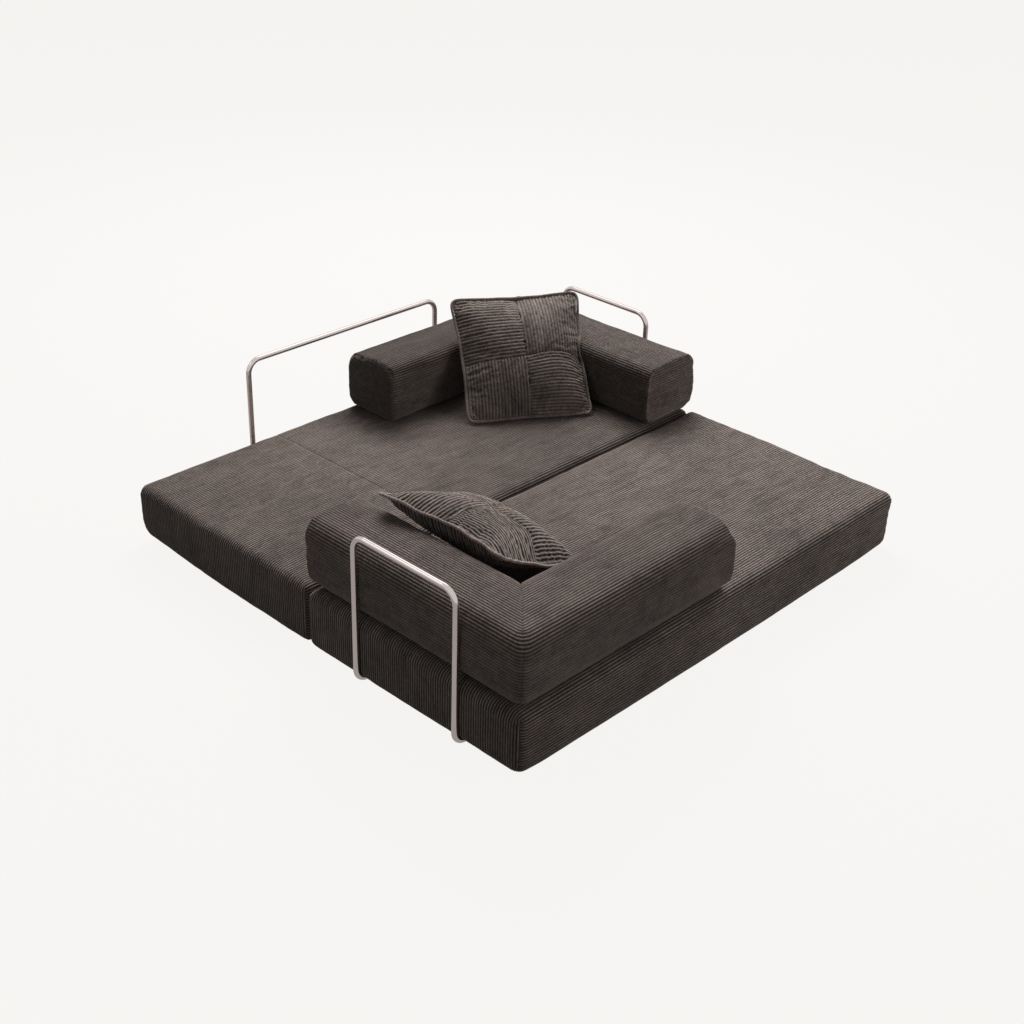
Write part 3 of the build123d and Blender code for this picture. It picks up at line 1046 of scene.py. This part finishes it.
def clear_of_bolster(points, room, turned):
    """Pushes points out of the arms of the bolster that a pillow leans on, and off the pad."""
    points = half_turn(points) if turned else points.copy()
    top, side, bend = HEIGHT + B_HEIGHT + 4.0, B_WIDTH + 0.5, 44.0
    for k in (0, 1):
        q = points[..., k] - (side - bend)
        h = points[..., 2] - (top - bend)
        off = np.hypot(np.maximum(q, 0), np.maximum(h, 0)) - bend
        length = np.maximum(off + bend, 1e-6)
        flat = (q <= 0) & (h <= 0)
        dq = np.where(flat, 0.0, np.maximum(q, 0) / length)
        dh = np.where(flat, 1.0, np.maximum(h, 0) / length)
        push = np.maximum(room - np.where(flat, h - bend, off), 0)
        points[..., k] += dq * push
        points[..., 2] += dh * push
    points[..., 2] = np.maximum(points[..., 2], HEIGHT + 8.0 + room)
    return half_turn(points) if turned else points


def square_seams(x, y):
    """The seams between a pillow's squares, with a wide hollow along them."""
    return 3.0 * sum(bell(off, spread) for off in (x, y) for spread in (4.5, 28))


# How a pillow is finished: how thick the knots of its piping are, the painted highlight
# on its piping, the painted shade in the grooves between the wales, and the painted light
# (above 1) or painted shade (below 1) on its squares.
Finish = namedtuple("Finish", "knot piping_light deep tone")


def pillow(body, place, seed, bow, shape, finish):
    face, back = swollen_pillow(seed)
    last = CAGE - 1
    place, unplace = place
    room = 3.0 + 5.0 * (np.maximum(np.abs(U), np.abs(V)) > 0.97)
    turned = body == "back_pillow"
    placed = [place(shape(grid, U, V, grid is face)) for grid in (face, back)]
    face, back = (unplace(clear_of_bolster(grid, room, turned)) for grid in placed)
    cloth = Cloth()
    span = 2 * PILLOW_HALF
    count = round(span / 2 / WALE_PILLOW)
    fine, coarse = wale_stations(count, 6) / count, np.linspace(0, 1, 58)

    def panel(grid, i_at, j_at, rise, across, along, seam, out):
        points = read_grid(grid, i_at, j_at)
        n = normals(points)
        way = 1 if np.sum(n[..., 2]) * out > 0 else -1
        points = points - way * n * (PILLOW_GROOVE * (1 - rise) + seam)[..., None]
        # painted shade in the grooves between the wales, darker on the front pillow than on the
        # back
        height = 1 - finish.deep * (1 - rise)
        cloth.add(place(points), height, across / 1000, along / 1000, way, finish.tone)

    for column in (-1, 1):
        for row in (-1, 1):
            level = column * row < 0
            a, b = (coarse, fine) if level else (fine, coarse)
            a, b = np.meshgrid(a, b, indexing="ij")
            v0 = row * b
            u0 = column * a + bow[1](v0) * (1 - a)
            v0 = v0 + bow[0](u0) * (1 - b)
            rise = ridge((b if level else a) * count)
            x, y = a * span / 2, b * span / 2
            across, along = (y, x) if level else (x, y)
            i_at, j_at = (u0 + 1) / 2 * last, (v0 + 1) / 2 * last
            values = (i_at, j_at, rise, across, along, square_seams(x, y))
            panel(face, *(value[::-1] if level else value for value in values), 1)
    count = round(span / WALE_PILLOW)
    a, b = np.meshgrid(wale_stations(count) / count, np.linspace(0, 1, 100), indexing="ij")
    panel(back, a * last, b * last, ridge(a * count), a * span, b * span, 0 * a, -1)
    made = cloth.make(body + "_cushion", CORDUROY_PILLOW)
    parts = ["upper_left_square", "upper_right_square", "lower_left_square", "lower_right_square"]
    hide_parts(*[f"{body}_{part}" for part in parts + ["back_panel", "filling"]])
    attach(made, body)
    edge = np.concatenate([face[:-1, 0], face[-1, :-1], face[:0:-1, -1], face[0, :0:-1]])
    piping(body, place, edge, seed, finish)


PIPING_RADIUS, PIPING_SIDES = 5.6, 14
KNOT_PITCH, PIPING_STEP = 10.5, 2.2


def piping(body, place, edge, seed, finish):
    """Cord sewn into the edge, covered in corduroy that runs round it in knots."""
    for _ in range(2):
        edge = 0.5 * edge + 0.25 * (np.roll(edge, 1, 0) + np.roll(edge, -1, 0))
    loop = np.concatenate([edge, edge[:1]])
    s = run_along(loop)
    count = int(s[-1] / PIPING_STEP)
    at = np.arange(count) / count * s[-1]
    line = read_line(at, s, loop)
    tangent = np.roll(line, -3, 0) - np.roll(line, 3, 0)
    tangent /= np.linalg.norm(tangent, axis=1, keepdims=True)
    outward = np.cross(tangent, [0, 0, 1.0])
    if np.sum(outward * line) < 0:
        outward = -outward
    outward /= np.linalg.norm(outward, axis=1, keepdims=True)
    up = np.cross(outward, tangent)
    up *= np.sign(up[:, 2:3])
    # a piping with a painted highlight stands a little towards the face
    line = line + outward * 5.0 + up * 1.8 * (finish.piping_light > 1)
    rise = ridge(at / s[-1] * round(s[-1] / KNOT_PITCH))
    rng = np.random.default_rng(seed)
    knot = finish.knot
    radius = PIPING_RADIUS - knot * (1 - rise) - 0.5 * knot * rng.random() * rise
    around = np.linspace(0, math.tau, PIPING_SIDES + 1)[:-1]
    turn, lift = np.cos(around)[:, None], np.sin(around)[:, None]
    grid = line[:, None] + radius[:, None, None] * (turn * outward[:, None] + lift * up[:, None])
    points = to_row(place(grid.reshape(-1, 3)))
    index = np.arange(len(points)).reshape(count, PIPING_SIDES)
    quads = quads_of(np.pad(index, ((0, 1), (0, 1)), mode="wrap"))
    centre = points.reshape(count, PIPING_SIDES, 3).mean(1)
    a, b, c = (points[quads[:, k]] for k in (0, 1, 2))
    if np.sum(np.cross(b - a, c - b) * (a - np.repeat(centre, PIPING_SIDES, 0))) < 0:
        quads = quads[:, ::-1]
    # painted shade between the knots of the piping
    wale = np.repeat(0.95 - 0.5 * knot * (1 - rise), PIPING_SIDES)
    nap = grid_of(at[:, None], around * 5, 2.0).reshape(-1, 3) / 1000
    # painted highlight: the front pillow's piping is made lighter all along
    light = np.full(len(wale), finish.piping_light)
    made = make_mesh(body + "_piping_cord", points, quads, PIPING, wale, nap, light)
    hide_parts(body + "_piping")
    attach(made, body)


def corner_of(u, v, a, b, power):
    """1 at the corner of the pillow that a and b name, falling away from it."""
    return ((1 + a * u) / 2 * (1 + b * v) / 2) ** power


def back_shape(grid, u, v, face):
    """The upper corners stand out, the right one folded back a little; the lower edge sags."""
    right, left = corner_of(u, v, 1, 1, 2.5), corner_of(u, v, -1, 1, 2.5)
    moved = grid.copy()
    moved[..., 2] += -10.0 * right
    moved[..., 0] += 12.0 * right - 12.0 * left
    moved[..., 1] += 14.0 * right + 8.0 * left + 5.0 * ((1 + v) / 2) ** 3 * (1 - u**2)
    moved[..., 1] += -3.0 * ((1 - v) / 2) ** 3 * (1 - u**2)
    return moved


def front_shape(grid, u, v, face):
    """Wedged in its bolster's corner: bent to the outline that it shows there."""
    low, near = corner_of(u, v, -1, -1, 2.2), corner_of(u, v, -1, 1, 2.2)
    far, right = corner_of(u, v, 1, 1, 2.2), corner_of(u, v, 1, -1, 2.2)
    across, along = 1 - u**2, 1 - v**2
    moved = grid.copy()
    moved[..., 2] += 16.5 * near + 24.0 * far + 5.2 * right - 20.2 * low
    moved[..., 2] += 16.3 * ((1 + v) / 2) ** 2 * across - 22.9 * ((1 - u) / 2) ** 2 * along
    moved[..., 2] -= 14.0 * ((1 - v) / 2) ** 5
    moved[..., 0] -= 5.2 * ((1 - u) / 2) ** 3 * along + 30.6 * low
    moved[..., 1] -= 25.5 * ((1 + v) / 2) ** 3 * across + 43.7 * low
    waves = 3.2 * np.sin((1 - v) * 34.0) * bell(v - 0.72, 0.3)
    moved[..., 2] += waves * ((1 - u) / 2) ** 14
    if face:
        slump = bell(u + 0.19, 0.7) * bell(v + 0.74, 0.7)
        moved[..., 2] += 17.0 * slump * (1 - u**4) * (1 - v**4)
    return moved


# how far the seams between the squares bow, along u and along v
BACK_BOW = (
    lambda u: 0.08 * bell(u - 0.5, 0.42) - 0.07 - 0.05 * ramp(u, 0.75, 0.25),
    lambda v: 0.022 * v**2 - 0.005,
)
FRONT_BOW = (
    lambda u: 0.03 * (1 - u**2) - 0.21 * bell(u + 0.58, 0.28),
    lambda v: -0.045 * (1 - v**4),
)
# the front pillow's squares get painted light and the back pillow's get painted shade
BACK_FINISH = Finish(knot=0.3, piping_light=1.0, deep=0.42, tone=0.88)
FRONT_FINISH = Finish(knot=0.6, piping_light=2.1, deep=1.4, tone=1.3)
back_pillow_place = pillow_frame((1513.7, 1457, 441.6), turn=237.7, lift=40.3, roll=0.0)
front_pillow_place = pillow_frame((460.6, 641.4, 418.7), turn=-2.96, lift=67.24, roll=11.05)
pillow("back_pillow", back_pillow_place, 5, BACK_BOW, back_shape, BACK_FINISH)
pillow("front_pillow", front_pillow_place, 8, FRONT_BOW, front_shape, FRONT_FINISH)

# ---------------------------------------------------------------- rails

for rail in ("front_rail", "side_rail", "back_rail"):
    dress(rail + "_tube", STEEL)
    dress(rail + "_plugs", PLASTIC)

# ---------------------------------------------------------------- zips


def boxes(name, centres, halves, material):
    """Small boxes, one for each centre, as one mesh; halves is one size or one for each."""
    centres = np.asarray(centres, float)
    halves = np.broadcast_to(np.asarray(halves, float), centres.shape)
    corners = np.array([[x, y, z] for x in (-1, 1) for y in (-1, 1) for z in (-1, 1)], float)
    sides = [[0, 1, 3, 2], [4, 6, 7, 5], [0, 4, 5, 1], [2, 3, 7, 6], [0, 2, 6, 4], [1, 5, 7, 3]]
    points = (centres[:, None] + halves[:, None] * corners).reshape(-1, 3)
    quads = (np.array(sides) + 8 * np.arange(len(centres))[:, None, None]).reshape(-1, 4)
    made = make_mesh(name, to_row(points), quads, material)
    made.data.shade_flat()
    return made


TOOTH_PITCH = 2.6


def zip_fastener(node, body, first, last, out, across, place):
    """Tape, teeth, slider and pull, in the line from first to last."""
    first, last, out, across = (np.array(v, float) for v in (first, last, out, across))
    run = last - first
    length = np.linalg.norm(run)
    run /= length

    def size(a, b, c):
        return np.abs(run) * a + np.abs(across) * b + np.abs(out) * c

    middle = (first + last) / 2
    tape = boxes(node + "_tape", [place(middle + out * 0.35)], size(length / 2, 4.0, 0.35), TAPE)
    steps = np.arange(6.0, length - 6, TOOTH_PITCH)
    turn = np.where(np.arange(len(steps)) % 2 == 0, 1.0, -1.0)
    teeth = first + run * steps[:, None] + across * 0.7 * turn[:, None] + out * 1.1
    slider = first + run * 14 + out * 1.3
    bits = [slider, slider + run * 1.2 + out * 0.3, slider + run * 12 + out * 0.55]
    sizes = [size(4.5, 2.8, 0.9), size(2.4, 0.9, 0.9), size(9.0, 1.8, 0.4)]
    stops = [first + run * 3 + out * 1.1, last - run * 3 + out * 1.1]
    sizes += [size(1.4, 2.2, 0.7)] * 2
    all_bits = place(np.concatenate([teeth, bits, stops]))
    all_sizes = np.concatenate([np.tile(size(0.8, 1.5, 0.55), (len(teeth), 1)), sizes])
    chain = boxes(node + "_teeth", all_bits, all_sizes, PLASTIC)
    for piece in (tape, chain):
        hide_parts(node)
        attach(piece, body)


# each zip's first and last point, the way it faces and the way across it
side_zip = [[x, WIDTH - ZIP_INSET, ZIP_HEIGHT] for x in SIDE_ZIP] + [[0, 1, 0], [0, 0, 1]]
under_zip = [[x, B_WIDTH / 2, DECK + ZIP_INSET] for x in UNDER_ZIP] + [[0, 0, -1], [0, 1, 0]]
zip_fastener("front_pad_zip", "front_pad", *side_zip, same)
zip_fastener("back_pad_zip", "back_pad", *side_zip, half_turn)
zip_fastener("front_bolster_zip", "front_bolster", *under_zip, same)
zip_fastener("back_bolster_zip", "back_bolster", *under_zip, half_turn)

# ---------------------------------------------------------------- fold hinge

# the cloth's middle line, as y and height, from the front pad's side to the gap's middle
HINGE_LINE = [(966.0, 136), (966.0, 150), (966.0, 170), (966.0, 188), (966.2, 191.5)]
HINGE_LINE += [(966.6, 192.6), (967.0, 191.5), (967.15, 188), (967.15, 176), (967.2, 166)]
HINGE_LINE += [(967.5, 162.5)]
HINGE_MARGIN, HINGE_HALF_THICK = 60, 0.28
# two places in the gap's middle, on either side of the fold; they are read but nothing is done with
# them
HINGE_BLEND = [[CENTRE_X, 966.7, 180], [CENTRE_X, 968.3, 180]]


def fold_hinge():
    """A cloth leaf on each pad, and between them a web that hangs folded in the gap."""
    path = np.array(HINGE_LINE + [(BED - y, z) for y, z in HINGE_LINE[-2::-1]], float)
    x = np.linspace(HINGE_MARGIN, LENGTH - HINGE_MARGIN, 150)[:, None]
    way = np.gradient(path, axis=0)
    way /= np.linalg.norm(way, axis=1, keepdims=True)
    side = np.stack([-way[:, 1], way[:, 0]], -1) * HINGE_HALF_THICK
    y, z = np.concatenate([path + side, (path - side)[::-1]]).T
    low = np.clip((150 - z) / 14, 0, 1)
    grid = grid_of(x, y, z + low * 0.8 * np.sin(x / 31.0))
    count = len(y)
    index = np.arange(len(x) * count).reshape(len(x), count)
    quads = [quads_of(np.pad(index, ((0, 0), (0, 1)), mode="wrap").T)]
    half = len(path)
    for row, flip in ((index[0], False), (index[-1], True)):
        ends = quads_of(np.stack([row[:half], row[:half - 1:-1]], 1).T)
        quads.append(ends[:, ::-1] if flip else ends)
    quads = np.concatenate(quads)
    made = make_mesh("fold_hinge_cloth", to_row(grid.reshape(-1, 3)), quads, TAPE)
    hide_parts("hinge_strip")
    start, end = to_row(HINGE_BLEND)
    tuple(start)
    tuple(end)
    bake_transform(made)


fold_hinge()

# ---------------------------------------------------------------- floor, background, light

PALE = (0.930, 0.913, 0.896)
WARM_WHITE = (1.0, 0.985, 0.97)
FLOOR_SIZE, FLOOR_DROP = 40.0, 0.0015


def make_world():
    world = bpy.data.worlds.new("studio")
    bpy.context.scene.world = world
    n = Nodes(world, "ShaderNodeOutputWorld")
    shades = ((WARM_WHITE, 0.15), ((1.0, 0.965, 0.95), 0.72), (PALE, 1.0))
    n.by_ray(*(
        n.add("ShaderNodeBackground", {"Color": (*colour, 1.0), "Strength": strength})
        for colour, strength in shades
    ))


def make_floor():
    """Pale floor that takes soft shadows and melts into the background."""
    n = Nodes(bpy.data.materials.new("pale_floor"))
    plain = n.add("ShaderNodeBsdfDiffuse", {"Color": (0.15, 0.147, 0.144, 1)})
    glossy = n.add("ShaderNodeEmission", {"Color": (0.40, 0.38, 0.37, 1), "Strength": 1.0})
    # what is seen glows as pale as the background, less the light that the shadows take
    catch = n.add("ShaderNodeBsdfDiffuse", {"Color": (0.024, 0.024, 0.024, 1)})
    pale = (*(part - 0.022 for part in PALE), 1.0)
    glow = n.add("ShaderNodeEmission", {"Color": pale, "Strength": 1.0})
    n.by_ray(plain, glossy, n.add("ShaderNodeAddShader", {0: catch, 1: glow}))
    corners = np.array([[-1, -1, 0], [1, -1, 0], [1, 1, 0], [-1, 1, 0]]) * FLOOR_SIZE
    floor = make_mesh("floor", corners - [0, 0, FLOOR_DROP], np.array([[0, 1, 2, 3]]), n.owner)


def lamp(name, place, aim, size, power, shine=False):
    """A square lamp; one that shines is also seen in the polished rails."""
    data = bpy.data.lights.new(name, "AREA")
    data.shape = "SQUARE"
    data.size = size
    data.energy = power
    data.color = WARM_WHITE
    made = add_object(name, data)
    z = np.subtract(place, aim)
    z = z / np.linalg.norm(z)
    x = np.cross((0, 0, 1.0), z)
    x = x / np.linalg.norm(x)
    stand(made, place, x, np.cross(z, x), z)
    made.visible_glossy = shine


make_world()
make_floor()
lamp("key", (2.3, 2.5, 4.45), (0.0, 0.0, 0.2), size=3.4, power=575)
lamp("right_fill", (2.2, -4.6, 1.8), (0.2, 0.0, 0.2), size=2.4, power=75)
lamp("left_fill", (-3.1, -0.7, 0.9), (-0.9, -0.2, 0.25), size=1.2, power=5)
lamp("front_card", (-2.65, 2.0, 3.2), (-1.0, -0.5, 0.5), size=1.3, power=5.0, shine=True)
lamp("back_card", (1.9, 2.0, 3.8), (0.5, 1.0, 0.5), size=2.8, power=27, shine=True)

bpy.context.scene.view_settings.view_transform = "Standard"
